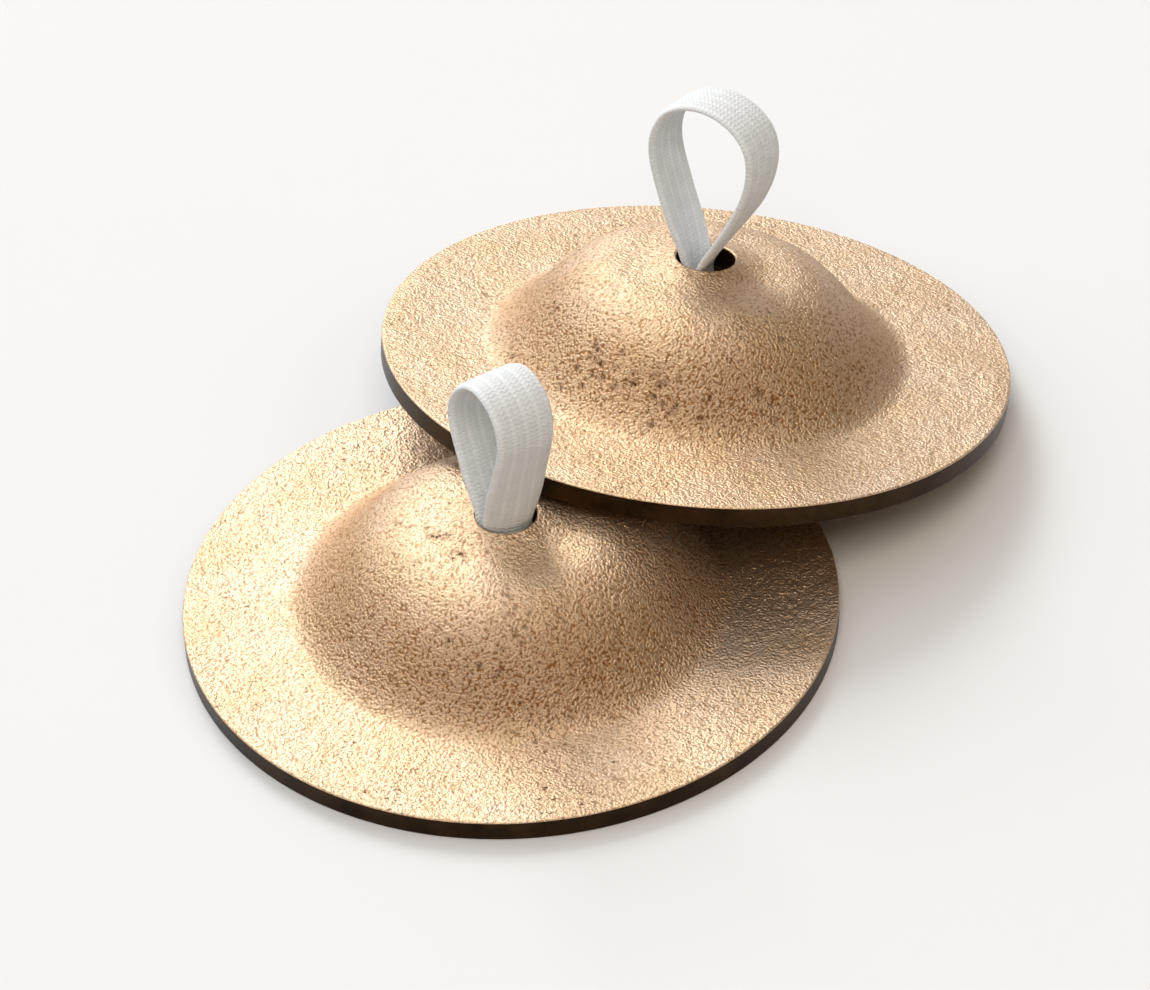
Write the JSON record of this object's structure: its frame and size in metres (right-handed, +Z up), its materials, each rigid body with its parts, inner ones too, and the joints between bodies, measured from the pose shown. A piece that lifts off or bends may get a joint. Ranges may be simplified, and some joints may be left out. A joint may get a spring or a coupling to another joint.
{
  "type": "finger cymbals",
  "caption": "Pair of cast bronze finger cymbals with domed centres and knotted white elastic finger loops, one leaning on the other.",
  "frame": {"origin": "on the floor, at the middle of the outline of the resting pair", "axes": "+Z up, +Y from the flat cymbal towards the leaning one, +X to the right"},
  "size_m": [0.06, 0.0926, 0.0339],
  "materials": {
    "cast_bronze": "sand-cast satin, with a machined brown rim",
    "white_elastic": "ribbed flat braid"
  },
  "bodies": {
    "front_cymbal": {"front_cymbal": "cast_bronze"},
    "front_knot": {"front_knot": "white_elastic", "front_tails": "white_elastic"},
    "front_loop": {"front_loop": "white_elastic"},
    "rear_cymbal": {"rear_cymbal": "cast_bronze"},
    "rear_knot": {"rear_knot": "white_elastic", "rear_tails": "white_elastic"},
    "rear_loop": {"rear_loop": "white_elastic"}
  },
  "joints": [
    {"name": "rear_cymbal_lift", "type": "slide", "parent": "front_cymbal", "child": "rear_cymbal", "axis": [0, 0.342, 0.9397], "range_m": [0, 0.05]},
    {"name": "front_loop_turn", "type": "hinge", "parent": "front_cymbal", "child": "front_knot", "pos_m": [0, -0.01634, 0], "axis": [0, 0, 1], "continuous": true},
    {"name": "rear_loop_turn", "type": "hinge", "parent": "rear_cymbal", "child": "rear_knot", "pos_m": [0, 0.01656, 0.00596], "axis": [0, 0.1987, 0.9801], "continuous": true},
    {"name": "front_loop_tilt", "type": "hinge", "parent": "front_knot", "child": "front_loop", "pos_m": [0, -0.01634, 0.01285], "axis": [0.4226, 0.9063, 0], "range_deg": [-20, 50], "stiffness_Nm_per_rad": 0.0002},
    {"name": "rear_loop_tilt", "type": "hinge", "parent": "rear_knot", "child": "rear_loop", "pos_m": [0, 0.01911, 0.01855], "axis": [0, 0.9801, -0.1987], "range_deg": [-50, 50], "stiffness_Nm_per_rad": 0.0002}
  ]
}
